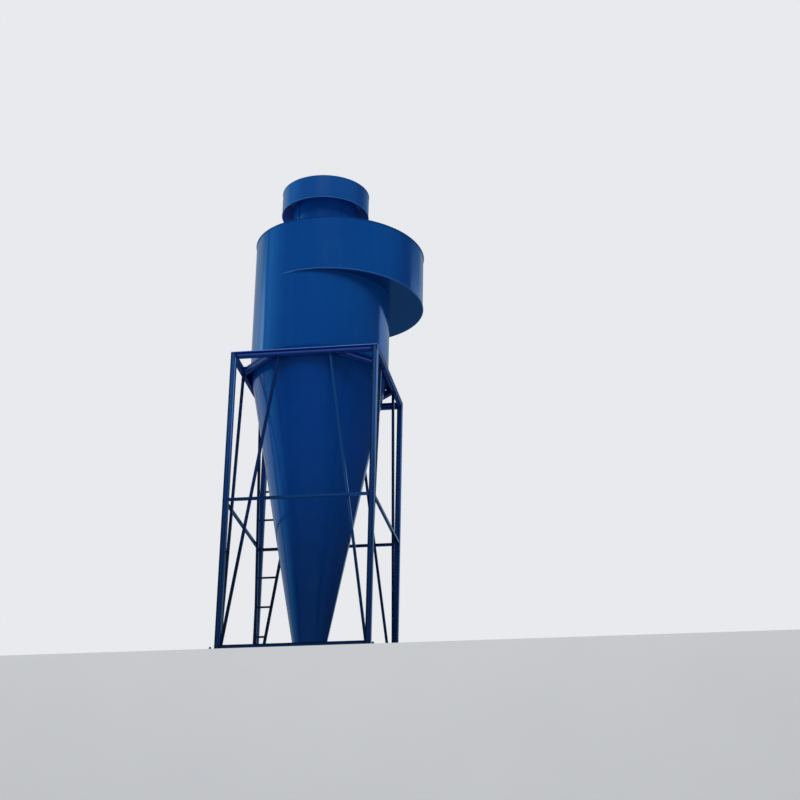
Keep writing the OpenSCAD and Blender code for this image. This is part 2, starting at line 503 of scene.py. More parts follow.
class Finish:
    """What the finishes have in common: one shader, with patterns that lie on the object's coordinates."""

    name: str

    def make(self) -> Material:
        """Builds the node material.

        Returns:
            The material.
        """
        material = bpy.data.materials.new(self.name)
        graph = Graph(material, "Object")
        shader = graph.add("ShaderNodeBsdfPrincipled", self.surface(graph))
        graph.add("ShaderNodeOutputMaterial", {"Surface": shader.outputs[0]})
        return material

    def surface(self, graph: Graph) -> dict[str, float | Socket]:
        """Adds the patterns.

        Args:
            graph: the material's nodes.

        Returns:
            The shader's inputs by name.
        """
        raise NotImplementedError


@dataclass(frozen=True)
class Enamel(Finish):
    """Gloss alkyd enamel sprayed on rolled or drawn steel.

    The eye sees a deep, slightly wavy gloss: reflections of the sky that swim a little where the sheet
    isn't flat, a paler bloom where sun and rain have chalked it, thin runs of dust down the sides and a
    dull grey film on faces that look up. Painted shade darkens the colour towards the ground and paints
    a tube's corners almost black. Further along one axis the colour may go over into a second one, which
    paints highlights on some tubes and shade on others, and a shell may have a paler colour painted inside
    as painted light.
    """

    name: str
    colour: str
    chalked: str
    dust: str
    roughness: float
    wave_mm: float
    wave_depth_mm: float
    streak_mm: float = 45.0
    chalk_mm: float = 520.0
    # Orange peel is about 3 mm across: drawn coarser so that it still shows close up
    peel_mm: float = 14.0
    peel_depth_mm: float = 0.06
    dust_on_top: float = 0.45
    # Painted shade towards the ground: where it is full, where it ends, and the share of colour it keeps
    painted_shade_low_m: float = 0.3
    painted_shade_high_m: float = 2.3
    painted_shade_keeps: float = 0.52
    # Painted shade along a tube's corners: how far it reaches, and its colour
    corner_shade_mm: float = 0.0
    corner: str = "#010824"
    # Painted light: a paler colour on faces that look inwards, where little light reaches
    painted_light_inside: str = ""
    # A second colour further along one axis, which paints highlights and shade
    beyond: str = ""
    beyond_axis: Axis = Axis.Z
    beyond_from_m: float = 1.5
    beyond_to_m: float = 2.3
    specular: float = 0.5

    IOR = 1.50
    # Where in its noise each pattern sets in and is full, and how far it goes there
    CHALK_FROM, CHALK_TO, CHALK_MOST = 0.42, 0.72, 0.25
    RUNS_FROM, RUNS_TO, RUNS_MOST = 0.52, 0.80, 0.02
    # Noise drawn out to about twenty times its width down the sides
    RUNS_SQUEEZED = 0.05
    # How far a face looks up where the film sets in and is full, its strength and how much it dulls
    FILM_FROM, FILM_TO, FILM_SHARE, FILM_DULLS = 0.35, 0.95, 0.7, 0.35
    # How well a rounded corner's normal agrees with its face's where the painted corner shade sets in and is
    # full
    CORNER_FROM, CORNER_TO, CORNER_SAMPLES = 0.997, 0.975, 6
    # A face looks inwards where its normal points this far against the way out from the axis
    INWARD = -0.01

    def surface(self, graph: Graph) -> dict[str, float | Socket]:
        """The shader's inputs: paint with dust on it, which dulls the gloss.

        Args:
            graph: the material's nodes.

        Returns:
            The inputs by name.
        """
        film = self.film(graph)
        return {
            "IOR": self.IOR,
            "Specular IOR Level": self.specular,
            "Base Color": graph.mix(film, self.paint(graph), self.dust),
            "Roughness": graph.calculate("MULTIPLY_ADD", film, self.FILM_DULLS, self.roughness),
            "Normal": self.waves(graph),
        }

    def film(self, graph: Graph) -> Socket:
        """The dust's share of the surface: thin runs down the sides, and a film on faces that look up.

        Args:
            graph: the material's nodes.

        Returns:
            The share, from 0 to 1.
        """
        scale = (1.0, 1.0, self.RUNS_SQUEEZED)
        drawn = graph.add("ShaderNodeMapping", {"Vector": graph.place, "Scale": scale}).outputs[0]
        run_noise = graph.noise(drawn, self.streak_mm, detail=2.0)
        runs = graph.span(run_noise, self.RUNS_FROM, self.RUNS_TO, to_end=self.RUNS_MOST)
        facing = graph.parts(graph.normal())["Z"]
        upward = graph.span(facing, self.FILM_FROM, self.FILM_TO, to_end=self.dust_on_top)
        return graph.calculate("MULTIPLY_ADD", upward, self.FILM_SHARE, runs)

    def paint(self, graph: Graph) -> Socket:
        """The paint's colour under the dust, with painted light and shade in it.

        Args:
            graph: the material's nodes.

        Returns:
            The colour.
        """
        chalk_noise = graph.noise(graph.place, self.chalk_mm, detail=3.0, roughness=0.55)
        chalk = graph.span(chalk_noise, self.CHALK_FROM, self.CHALK_TO, to_end=self.CHALK_MOST)
        paint = graph.mix(chalk, self.colour, self.chalked)
        along = graph.parts(graph.place)
        if self.beyond:
            # Further along one axis the colour goes over into a second one: painted highlight on some tubes,
            # painted shade on others
            axis = along[self.beyond_axis.value]
            passed = graph.span(axis, self.beyond_from_m, self.beyond_to_m, smooth=True)
            paint = graph.mix(passed, paint, self.beyond)
        # Painted shade darkens the colour towards the ground and keeps only a share of it low down
        unshaded = graph.span(along["Z"], self.painted_shade_low_m, self.painted_shade_high_m, self.painted_shade_keeps, smooth=True)
        paint = graph.add("ShaderNodeVectorMath", {0: paint, "Scale": unshaded}, operation="SCALE").outputs[0]
        # Painted shade: near-black along the corners
        if self.corner_shade_mm:
            paint = graph.mix(self.near_corner(graph), paint, self.corner)
        # Painted light: the paler colour inside a shell
        if self.painted_light_inside:
            paint = graph.mix(self.inside(graph), paint, self.painted_light_inside)
        return paint

    def near_corner(self, graph: Graph) -> Socket:
        """1 at a corner and 0 away from it: near one, a rounded normal leaves the face's own.

        Args:
            graph: the material's nodes.

        Returns:
            How near a corner is, from 0 to 1.
        """
        radius = self.corner_shade_mm / 1000.0
        rounded = graph.add("ShaderNodeBevel", {"Radius": radius}, samples=self.CORNER_SAMPLES).outputs[0]
        return graph.span(graph.dot(rounded, graph.normal()), self.CORNER_FROM, self.CORNER_TO)

    def inside(self, graph: Graph) -> Socket:
        """1 on faces that look at the body's axis, and 0 on others.

        Args:
            graph: the material's nodes.

        Returns:
            1 or 0.
        """
        inputs = {0: graph.place, 1: (1.0, 1.0, 0.0)}
        outward = graph.add("ShaderNodeVectorMath", inputs, operation="MULTIPLY").outputs[0]
        return graph.calculate("LESS_THAN", graph.dot(outward, graph.normal()), self.INWARD)

    def waves(self, graph: Graph) -> Socket:
        """The normal, with the sheet's waves and the paint's orange peel.

        Args:
            graph: the material's nodes.

        Returns:
            The normal.
        """
        wave = graph.noise(graph.place, self.wave_mm, detail=1.0, roughness=0.4)
        peel = graph.noise(graph.place, self.peel_mm, detail=1.0)
        waved = {"Strength": 1.0, "Distance": self.wave_depth_mm / 1000.0, "Height": wave}
        peeled = {"Strength": 1.0, "Distance": self.peel_depth_mm / 1000.0, "Height": peel}
        peeled["Normal"] = graph.add("ShaderNodeBump", waved).outputs[0]
        return graph.add("ShaderNodeBump", peeled).outputs[0]


@dataclass(frozen=True)
class ZincPlate(Finish):
    """Zinc-plated steel fasteners: a soft grey metal shine, spotted where the plating has dulled."""

    name: str = "zinc_plated_steel"
    bright: str = "#B9BDBE"
    dulled: str = "#80868A"
    roughness: float = 0.34
    roughened: float = 0.25
    spot_mm: float = 9.0
    worn_from: float = 0.40
    worn_to: float = 0.65

    def surface(self, graph: Graph) -> dict[str, float | Socket]:
        """The shader's inputs: bright metal with dull spots.

        Args:
            graph: the material's nodes.

        Returns:
            The inputs by name.
        """
        spots = graph.noise(graph.place, self.spot_mm, detail=3.0)
        worn = graph.span(spots, self.worn_from, self.worn_to)
        return {
            "Metallic": 1.0,
            "Base Color": graph.mix(worn, self.bright, self.dulled),
            "Roughness": graph.calculate("MULTIPLY_ADD", worn, self.roughened, self.roughness),
        }


@dataclass(frozen=True)
class StudioPaint(Finish):
    """Matt pale paint on the floor, with the faintest mottling."""

    name: str = "studio_floor_paint"
    light: str = "#F6F7F8"
    dark: str = "#F0F1F3"
    mottle_mm: float = 900.0
    roughness: float = 0.85

    def surface(self, graph: Graph) -> dict[str, float | Socket]:
        """The shader's inputs: two pale greys that flow into each other.

        Args:
            graph: the material's nodes.

        Returns:
            The inputs by name.
        """
        mottle = graph.noise(graph.place, self.mottle_mm, detail=2.0)
        return {"Base Color": graph.mix(mottle, self.light, self.dark), "Roughness": self.roughness}


# The body's walls: a deep clear blue whose gloss draws the sky out into soft upright bands
SHEET = Enamel(
    name="gloss_enamel_on_rolled_sheet", colour="#02438D", chalked="#065194", dust="#5E7E96",
    roughness=0.14, wave_mm=310.0, wave_depth_mm=1.3,
)
# The cone's walls lean in under the barrel, and painted shade gives them a deeper blue
CONE_SHEET = replace(SHEET, name="gloss_enamel_on_cone_sheet", colour="#023D8A", chalked="#064B92")
# The roof holds more dust, which dulls its gloss to a satin
ROOF_SHEET = replace(SHEET, name="dusty_enamel_on_roof_sheet", roughness=0.24, dust_on_top=0.55)
# The cap: a little paler and duller, and pale blue inside as painted light that lifts its shaded underside
# seen from below
CAP_SHEET = replace(
    SHEET, name="pale_enamel_with_painted_light_inside_cap", colour="#064890", chalked="#0A5298", roughness=0.24,
    dust_on_top=0.55, painted_light_inside="#9CC8FF",
)
# Beads along ground corners and rims: a paler and softer blue that paints their highlight
HIGHLIGHT_SHEET = replace(
    SHEET, name="enamel_with_painted_highlight_on_sheet_edges", colour="#2A62A2", chalked="#3C6CA2", roughness=0.22,
    wave_depth_mm=0.2,
)
# The scroll's floor faces the ground, and painted shade makes its blue the darkest
FLOOR_SHEET = replace(SHEET, name="enamel_with_painted_shade_on_floor_sheet", colour="#012C70", chalked="#02327A")
# The outlet pipe: painted light makes it bright under the cap, and painted shade darkens it down to the roof
PIPE_SHEET = replace(
    SHEET, name="enamel_with_painted_light_and_shade_on_outlet_pipe", colour="#0353B0", chalked="#065AB4",
    painted_shade_low_m=4.45, painted_shade_high_m=4.85, painted_shade_keeps=0.35,
)
# The stand's tubes: navy, with painted shade towards the ground and near-black along the corners
TUBE = Enamel(
    name="gloss_enamel_on_drawn_tube", colour="#103C7C", chalked="#144484", dust="#5A7890",
    roughness=0.16, wave_mm=120.0, wave_depth_mm=0.15, corner_shade_mm=30.0,
)
# The front legs, with a painted highlight that grows paler the higher they reach
LEG_TUBE = replace(
    TUBE, name="enamel_with_painted_highlight_on_front_legs", colour="#16488E", chalked="#1C5296", beyond="#2A5CA0",
    corner_shade_mm=44.0,
)
# The tubes' round edges: a painted glint, a thin pale line from two metres up
GLINT_TUBE = replace(
    TUBE, name="enamel_with_painted_glint_on_tube_edges", colour="#1C4C90", chalked="#225294", beyond="#5684D2",
    roughness=0.25, corner_shade_mm=0.0,
)
# Front rail and braces: painted shade, dark on the left and towards the ground, plain blue on the right
THIN_TUBE = replace(
    TUBE, name="gloss_enamel_on_thin_tube", colour="#0A2858", chalked="#0E2E60", beyond="#10407C",
    beyond_axis=Axis.X, beyond_from_m=-0.30, beyond_to_m=-0.05, painted_shade_low_m=0.8, painted_shade_high_m=1.4,
    painted_shade_keeps=0.35, corner_shade_mm=0.0,
)
# The top frame, dulled: a painted reflection, almost black along its upper half and pale blue below
TOP_TUBE = replace(
    TUBE, name="dulled_enamel_on_drawn_tube", colour="#2A5296", chalked="#305C9E", roughness=0.35,
    specular=0.12, beyond="#00104E", beyond_from_m=2.916, beyond_to_m=2.926, corner="#00105E",
    corner_shade_mm=42.0,
)


# Sub-assemblies


class SubAssembly:
    """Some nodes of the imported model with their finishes, and the small parts that go with them.

    NODES gives the nodes by the field that holds their finish. A name that ends in an underscore stands
    for all nodes that start with it, and a later field paints over an earlier one.
    """

    NODES: dict[str, tuple[str, ...]] = {}

    def build(self, nodes: Nodes) -> None:
        """Paints the nodes and adds the small parts.

        Args:
            nodes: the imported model's nodes by name.
        """
        for finish, names in self.NODES.items():
            for name, node in nodes.items():
                if any(name == n or (n.endswith("_") and name.startswith(n)) for n in names):
                    for place in node.material_slots:
                        place.material = getattr(self, finish)
        self.add_parts()

    def add_parts(self) -> None:
        """Adds the small parts."""
        raise NotImplementedError


@dataclass
class Stand(SubAssembly):
    """The four-legged stand: its enamel, the weld beads at its joints and its bolts."""

    enamel: Material
    leg_enamel: Material
    rail_enamel: Material
    beam_enamel: Material
    highlight_enamel: Material
    zinc: Material
    bead_r: float = 0.003
    bead_sunk: float = 0.0009
    edge_r: float = 0.0055
    edge_sink: float = 0.0040
    top_edge_sink: float = 0.0016
    seat_bolt_x: float = 0.280
    # The mid rail takes the place of the rung between -1 and 1
    rung_steps: tuple[int, ...] = (-3, -2, -1, 1, 2, 3, 4)

    NODES = {
        "enamel": ("foot_plates", "base_beam_", "leg_", "mid_rail_", "braces_", "ladder_rungs"),
        "leg_enamel": ("leg_front_left", "leg_front_right"),
        "rail_enamel": ("mid_rail_front", "braces_front"),
        "beam_enamel": ("top_beam_", "corner_beam_", "seat_plate_"),
    }
    ANCHOR = Fastener(
        washer_r=0.0165, washer_t=0.003, washer_corner=0.0006, across=0.024, head_h=0.013, corner=0.0012,
        turn=17.0, stud_r=0.008, stud_h=0.026,
    )
    SEAT_BOLT = Fastener(
        washer_r=0.0120, washer_t=0.0025, washer_corner=0.0005, across=0.019, head_h=0.008, corner=0.001,
        turn=8.0, stud_r=0.006, stud_h=0.018,
    )

    def add_parts(self) -> None:
        """Adds the weld beads, the edges with their painted glint and the bolts."""
        self.welds()
        self.rung_welds()
        self.painted_glint_edges()
        self.foot_bolts()
        self.seat_bolts()

    def welds(self) -> None:
        """Beads round the ends of the base beams, mid rails and top beams, where they meet the legs."""
        piece = Piece("stand_weld_beads")
        c = CAD
        tubes = (
            (c.leg_w / 2, c.leg_w / 2, c.stand_out - c.leg_w / 2, c.foot_t + c.leg_w / 2),
            (c.rail_w / 2, c.rail_w / 2, c.stand_out - c.rail_w / 2, c.mid_rail_z),
            (c.beam_w / 2, c.beam_h / 2, c.stand_out - c.beam_w / 2, c.stand_h - c.beam_h / 2),
        )
        sunk = self.bead_sunk
        for half_w, half_h, y, z in tubes:
            for end in (-1, 1):
                places = [side.turn() @ at(end * (c.leg_in - sunk), -y, z) for side in Side]
                for bead in frame_bead(half_w - sunk, half_h - sunk, self.bead_r):
                    piece.take(bead, *places)
        piece.finish(self.enamel, Slot.STAND_ENAMEL)

    def rung_welds(self) -> None:
        """A bead round each rung where it meets the rear left leg."""
        piece = Piece("rung_weld_beads")
        c = CAD
        on_leg = at(-c.leg_in, c.leg_in + c.rail_w / 2, 0.0) @ ON_ITS_SIDE
        for step in self.rung_steps:
            ring = turned(bead_profile(c.rung_r, 0.0, self.bead_r, sides=6), steps=16)
            piece.take(ring, at(z=c.mid_rail_z + step * c.rung_pitch) @ on_leg)
        piece.finish(self.enamel, Slot.STAND_ENAMEL)

    def painted_glint_edges(self) -> None:
        """Thin beads along tube corners that carry a painted glint: along the top frame, and on each leg at
        front right.
        """
        piece = Piece("painted_glint_tube_edges")
        c = CAD
        edge = c.stand_out - self.edge_sink
        top = c.stand_h - self.top_edge_sink
        along_top = bar((-edge, -edge, top), (edge, -edge, top), self.edge_r)
        piece.take(along_top, *(side.turn() for side in Side))
        foot, head = c.foot_t + c.leg_w, c.stand_h - c.beam_h
        for x in (c.stand_out - self.edge_sink, -c.leg_in - self.edge_sink):
            for y in (self.edge_sink - c.stand_out, c.leg_in + self.edge_sink):
                piece.take(bar((x, y, foot), (x, y, head), self.edge_r))
        piece.finish(self.highlight_enamel, Slot.STAND_ENAMEL, Shading.ROUND)

    def foot_bolts(self) -> None:
        """A washer, a nut and a stud end on each foot plate."""
        piece = Piece("anchor_nuts")
        c = CAD
        places = [at(x * c.anchor_c, y * c.anchor_c, c.foot_t) for x in (-1, 1) for y in (-1, 1)]
        self.ANCHOR.fit(piece, places, studs=True)
        piece.finish(self.zinc, Slot.STAND_ENAMEL, Shading.CRISP)

    def seat_bolts(self) -> None:
        """Two painted bolts through each seat plate and the top beam under it, with their nuts below."""
        piece = Piece("seat_bolts")
        c = CAD
        spots = [(side.turn(), x * self.seat_bolt_x) for side in Side for x in (-1, 1)]
        y = c.beam_w / 2 - c.stand_out
        heads = [turn @ at(x, y, c.stand_h + c.seat_t) for turn, x in spots]
        nuts = [turn @ at(x, y, c.stand_h - c.beam_h) @ UPSIDE_DOWN for turn, x in spots]
        self.SEAT_BOLT.fit(piece, heads)
        self.SEAT_BOLT.fit(piece, nuts, studs=True)
        piece.finish(self.beam_enamel, Slot.STAND_ENAMEL, Shading.CRISP)


@dataclass
class Vessel(SubAssembly):
    """Barrel, cone and dust spout: their enamel and the seams between their sheets."""

    enamel: Material
    cone_enamel: Material
    bead_r: float = 0.003
    ground_r: float = 0.0022
    # How deep the ground seams lie in the sheet: round the cone, round the barrel and upright
    cone_sink: float = 0.0014
    barrel_sink: float = 0.0017
    long_sink: float = 0.001
    # The rod in the rolled mouth of the spout
    rim_r: float = 0.0035
    rim_up: float = 0.003
    floor_gap: float = 0.001
    turn_steps: int = 160
    cone_seams: tuple[float, ...] = (1.020, 1.980)
    cone_seam_turns: tuple[float, ...] = (140.0, 35.0, 205.0)
    barrel_seam_turn: float = 160.0

    NODES = {"enamel": ("barrel",), "cone_enamel": ("dust_spout", "cone")}

    def add_parts(self) -> None:
        """Adds the seams."""
        self.ring_seams()
        self.long_seams()

    def ring_seams(self) -> None:
        """Beads round the cone and the spout, and on the barrel one at its foot and one under the scroll."""
        c = CAD
        cone = Piece("cone_ring_seams")
        rings = [(c.cone_r(z) - self.cone_sink, z, self.ground_r) for z in self.cone_seams]
        rings.append((c.outlet_r, c.cone_foot_z, self.bead_r))
        rings.append((c.outlet_r - c.sheet_t / 2, c.spout_z + self.rim_up, self.rim_r))
        for radius, height, bead_r in rings:
            cone.take(turned(bead_profile(radius, height, bead_r), self.turn_steps))
        cone.finish(self.cone_enamel, Slot.BODY_ENAMEL)
        barrel = Piece("barrel_ring_seams")
        at_foot = bead_profile(c.body_r - self.barrel_sink, c.cone_top_z, self.ground_r)
        barrel.take(turned(at_foot, self.turn_steps))
        under_floor = bead_profile(c.body_r, c.scroll_z - self.floor_gap, self.bead_r)
        barrel.take(turned(under_floor, self.turn_steps, c.arc1.start, c.arc2.end))
        barrel.finish(self.enamel, Slot.BODY_ENAMEL)

    def long_seams(self) -> None:
        """One upright seam down the barrel, and one down each of the cone's three courses."""
        c = CAD
        cone = Piece("cone_long_seams")
        levels = (c.cone_foot_z, *self.cone_seams, c.cone_top_z)
        for low, high, turn in zip(levels, levels[1:], self.cone_seam_turns):
            foot, top = c.cone_r(low) - self.long_sink, c.cone_r(high) - self.long_sink
            cone.take(bar((foot, 0.0, low), (top, 0.0, high), self.ground_r), about_z(turn))
        cone.finish(self.cone_enamel, Slot.BODY_ENAMEL)
        barrel = Piece("barrel_long_seam")
        wall = c.body_r - self.long_sink
        seam = bar((wall, 0.0, c.cone_top_z), (wall, 0.0, c.roof_z), self.ground_r)
        barrel.take(seam, about_z(self.barrel_seam_turn))
        barrel.finish(self.enamel, Slot.BODY_ENAMEL)


@dataclass
class Scroll(SubAssembly):
    """Scroll, roof and inlet duct: their enamel, the seams along their edges and the inlet's frame."""

    enamel: Material
    floor_enamel: Material
    roof_enamel: Material
    highlight_enamel: Material
    bead_r: float = 0.003
    upright_r: float = 0.0024
    upright_sink: float = 0.0022
    duct_r: float = 0.0021
    edge_r: float = 0.008
    edge_sunk: float = 0.002
    edge_down: float = 0.001
    arc_steps: int = 90
    # Where the barrel's own wall comes out from behind the scroll, on the left
    barrel_from: float = 106.0
    # The duct's near side meets the barrel at an upright seam, and its corners' beads end just short of it
    near_seam_x: float = -0.074
    near_corner_x: float = -0.080

    NODES = {
        "enamel": ("scroll_wall", "inlet_duct", "inlet_flange"),
        "floor_enamel": ("scroll_floor",),
        "roof_enamel": ("roof_plate",),
    }

    def add_parts(self) -> None:
        """Adds the seams."""
        self.foot_bead()
        self.edge_seams()
        self.inlet_seams()

    def foot_bead(self) -> None:
        """The ground corner between the scroll's wall and floor, paler as a painted highlight."""
        piece = Piece("scroll_foot_bead")
        height = CAD.scroll_z + self.edge_r - self.edge_down
        for arc in (CAD.arc1, CAD.arc2):
            section = bead_profile(arc.radius - self.edge_sunk, height, self.edge_r, sides=10)
            piece.take(turned(section, self.arc_steps, arc.start, arc.end), at(*arc.centre))
        piece.finish(self.highlight_enamel, Slot.BODY_ENAMEL, Shading.ROUND)

    def edge_seams(self) -> None:
        """Fillet beads under the roof's lip, and the upright seams of the wall."""
        piece = Piece("scroll_seams")
        c = CAD
        low, high = c.scroll_z + c.sheet_t, c.roof_z
        for arc in (c.arc1, c.arc2):
            under_lip = bead_profile(arc.radius, high, self.bead_r)
            piece.take(turned(under_lip, self.arc_steps, arc.start, arc.end), at(*arc.centre))
        for height in (low, high):
            piece.take(bar((c.arc2.centre[0], c.inlet_y, height), (0.0, c.inlet_y, height), self.bead_r))
        on_barrel = bead_profile(c.body_r, high, self.bead_r)
        piece.take(turned(on_barrel, self.arc_steps, self.barrel_from, FULL_TURN + c.arc1.start))
        wall = c.arc1.radius - self.upright_sink
        for turn in (c.arc1.start, c.arc1.end):
            upright = bar((wall, 0.0, low), (wall, 0.0, high), self.upright_r)
            piece.take(upright, at(*c.arc1.centre) @ about_z(turn))
        piece.finish(self.enamel, Slot.BODY_ENAMEL)

    def inlet_seams(self) -> None:
        """Beads along the inlet duct's outer corners and behind its flange."""
        piece = Piece("inlet_seams")
        c = CAD
        low, high = c.scroll_z, c.roof_z + c.sheet_t
        near, far = c.body_r - c.sheet_t, c.inlet_y
        back = c.inlet_x + c.flange_t
        for height in (low, high):
            for y, end in ((far, 0.0), (near, self.near_corner_x)):
                piece.take(bar((back, y, height), (end, y, height), self.duct_r))
        for bead in frame_bead((far - near) / 2, (high - low) / 2, self.bead_r):
            piece.take(bead, at(back, (near + far) / 2, (low + high) / 2))
        for x, y, radius in ((self.near_seam_x, near, self.bead_r), (0.0, far, self.duct_r)):
            piece.take(bar((x, y, low), (x, y, high), radius))
        piece.finish(self.enamel, Slot.BODY_ENAMEL)


@dataclass
class CleanAirOutlet(SubAssembly):
    """Vortex finder, collar and rain cap: their enamel, rims, seams and bolts."""

    enamel: Material
    pipe_enamel: Material
    cap_enamel: Material
    highlight_enamel: Material
    zinc: Material
    bead_r: float = 0.003
    rim_r: float = 0.0055
    rim_up: float = 0.003
    sheet_seam_r: float = 0.002
    skirt_seam_sink: float = 0.001
    cap_seam_sink: float = 0.004
    cap_seam_end: float = 0.020
    cap_seam_turns: tuple[float, float] = (125.0, -55.0)
    turn_steps: int = 144
    collar_bolts: int = 12
    strap_bolts_up: tuple[float, float] = (0.028, 0.135)

    NODES = {
        "enamel": ("finder_collar",),
        "pipe_enamel": ("vortex_finder", "cap_straps"),
        "cap_enamel": ("cap_skirt", "cap_top"),
    }
    STRAP_TURNS = (45.0, 135.0, 225.0, 315.0)
    BOLT = Fastener(
        washer_r=0.0105, washer_t=0.002, washer_corner=0.0005, across=0.017, head_h=0.0065, corner=0.001,
        turn=11.0,
    )

    def add_parts(self) -> None:
        """Adds the rims, the seams and the bolts."""
        self.rims()
        self.seams()
        self.bolts()

    def rims(self) -> None:
        """Wired rims: the pipe's mouth and the skirt's lower edge, each rolled round a rod."""
        c = CAD
        for name, radius, height, finish in (
            # The cap's rim takes the painted highlight; the pipe's rim keeps the plain sheet
            ("cap_rim", c.cap_r - c.sheet_t / 2, c.skirt_z + self.rim_up, self.highlight_enamel),
            ("vortex_finder_rim", c.finder_r - c.sheet_t / 2, c.finder_top_z, self.enamel),
        ):
            piece = Piece(name)
            piece.take(turned(bead_profile(radius, height, self.rim_r, sides=10), self.turn_steps))
            piece.finish(finish, Slot.BODY_ENAMEL, Shading.ROUND)

    def seams(self) -> None:
        """Beads round the cap's shoulder and the collar, an upright one on the skirt and two on the cap."""
        piece = Piece("outlet_seams")
        c = CAD
        shoulder = (c.cap_r, c.cap_z)
        collar_edge = (c.finder_r + c.collar_w, c.roof_z + c.sheet_t)
        collar_neck = (c.finder_r, c.collar_z)
        for radius, height in (shoulder, collar_edge, collar_neck):
            piece.take(turned(bead_profile(radius, height, self.bead_r), self.turn_steps))
        wall = c.cap_r - self.skirt_seam_sink
        on_skirt = bar((wall, 0.0, c.skirt_z), (wall, 0.0, c.cap_z), self.sheet_seam_r)
        piece.take(on_skirt, about_z(self.cap_seam_turns[0]))
        foot = (c.cap_r - self.cap_seam_sink, 0.0, c.cap_z + c.sheet_t)
        top = (self.cap_seam_end, 0.0, c.cap_z + c.cap_rise)
        piece.take(bar(foot, top, self.sheet_seam_r), *(about_z(turn) for turn in self.cap_seam_turns))
        piece.finish(self.enamel, Slot.BODY_ENAMEL)

    def bolts(self) -> None:
        """Zinc-plated bolts down through the collar, and two painted ones through each strap's foot."""
        c = CAD
        pitch = FULL_TURN / self.collar_bolts
        ring = [about_z(pitch * (i + 0.5)) @ at(c.finder_r + c.collar_w / 2, 0.0, c.collar_z)
                for i in range(self.collar_bolts)]
        straps = [about_z(turn) @ at(c.finder_r + c.strap_t, 0.0, c.collar_z + up) @ ON_ITS_SIDE
                  for turn in self.STRAP_TURNS for up in self.strap_bolts_up]
        for name, places, finish in (
            ("collar_bolts", ring, self.zinc), ("strap_bolts", straps, self.pipe_enamel),
        ):
            piece = Piece(name)
            self.BOLT.fit(piece, places)
            piece.finish(finish, Slot.BODY_ENAMEL, Shading.CRISP)


# Studio and camera


@dataclass(frozen=True)
class SoftBox:
    """A square soft lamp aimed at the middle of the separator, which neither camera nor gloss sees."""

    name: str
    place: Point
    power_w: float
    side: float = 6.0
    aim: Point = (0.0, 0.0, 2.5)

    def hang(self) -> bpy.types.Object:
        """Makes the lamp.

        Returns:
            The lamp.
        """
        data = bpy.data.lights.new(self.name, "AREA")
        data.size = self.side
        data.energy = self.power_w
        lamp = bpy.data.objects.new(self.name, data)
        lamp.location = self.place
        lamp.rotation_mode = "QUATERNION"
        lamp.rotation_quaternion = (Vector(self.aim) - Vector(self.place)).to_track_quat("-Z", "Y")
        lamp.visible_camera = False
        lamp.visible_glossy = False
        bpy.context.scene.collection.objects.link(lamp)
        return lamp


